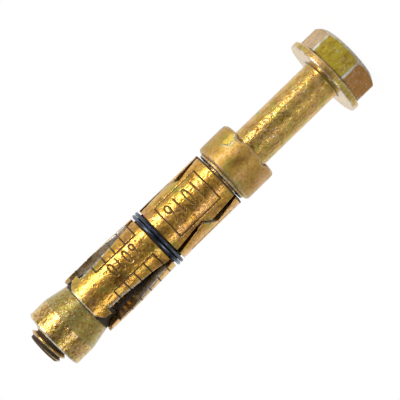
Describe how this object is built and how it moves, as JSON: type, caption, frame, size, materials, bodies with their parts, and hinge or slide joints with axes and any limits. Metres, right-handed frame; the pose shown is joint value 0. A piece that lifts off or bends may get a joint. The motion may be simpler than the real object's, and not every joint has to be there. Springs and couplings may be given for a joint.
{
  "type": "shield anchor",
  "caption": "Heavy-duty expansion anchor with a hex flange bolt, sliding ferrule, segmented shield held by a wire hoop, and a threaded taper nut.",
  "frame": {"origin": "centre of the flat top of the hex head, on which the anchor stands", "axes": "+Z along the bolt towards its threaded tip; -Y faces the middle of shield_segment_a"},
  "size_m": [0.0207, 0.0206, 0.0977],
  "materials": {
    "bolt_zinc": "yellow zinc",
    "ferrule_zinc": "yellow zinc",
    "shield_zinc": "yellow zinc",
    "nut_zinc": "yellow zinc",
    "spring_wire": "dark drawn wire"
  },
  "bodies": {
    "bolt": {"hex_flange_bolt": "bolt_zinc"},
    "ferrule": {"ferrule": "ferrule_zinc"},
    "hoop": {"wire_hoop": "spring_wire"},
    "nut": {"taper_nut": "nut_zinc"},
    "segment_a": {"shield_segment_a": "shield_zinc"},
    "segment_b": {"shield_segment_b": "shield_zinc"},
    "segment_c": {"shield_segment_c": "shield_zinc"}
  },
  "joints": [
    {"name": "bolt_turn", "type": "hinge", "parent": "bolt", "child": "hoop", "pos_m": [0, 0, 0.0612], "axis": [0, 0, -1], "range_deg": [0, 720]},
    {"name": "nut_draw", "type": "slide", "parent": "hoop", "child": "nut", "axis": [0, 0, -1], "range_m": [0, 0.00302]},
    {"name": "segment_a_spread", "type": "hinge", "parent": "hoop", "child": "segment_a", "pos_m": [0, -0.0065, 0.0416], "axis": [1, 0, 0], "range_deg": [0, 0.96]},
    {"name": "segment_b_spread", "type": "hinge", "parent": "hoop", "child": "segment_b", "pos_m": [0.00563, 0.00325, 0.0416], "axis": [-0.5, 0.866, 0], "range_deg": [0, 0.96]},
    {"name": "segment_c_spread", "type": "hinge", "parent": "hoop", "child": "segment_c", "pos_m": [-0.00563, 0.00325, 0.0416], "axis": [-0.5, -0.866, 0], "range_deg": [0, 0.96]},
    {"name": "ferrule_slide", "type": "slide", "parent": "bolt", "child": "ferrule", "axis": [0, 0, -1], "range_m": [0, 0.023]}
  ],
  "couplings": [
    {"joint": "nut_draw", "follows": "bolt_turn", "m_per_rad": 0.00023873},
    {"joint": "segment_a_spread", "follows": "bolt_turn", "ratio": 0.0013194},
    {"joint": "segment_b_spread", "follows": "bolt_turn", "ratio": 0.0013194},
    {"joint": "segment_c_spread", "follows": "bolt_turn", "ratio": 0.0013194}
  ]
}
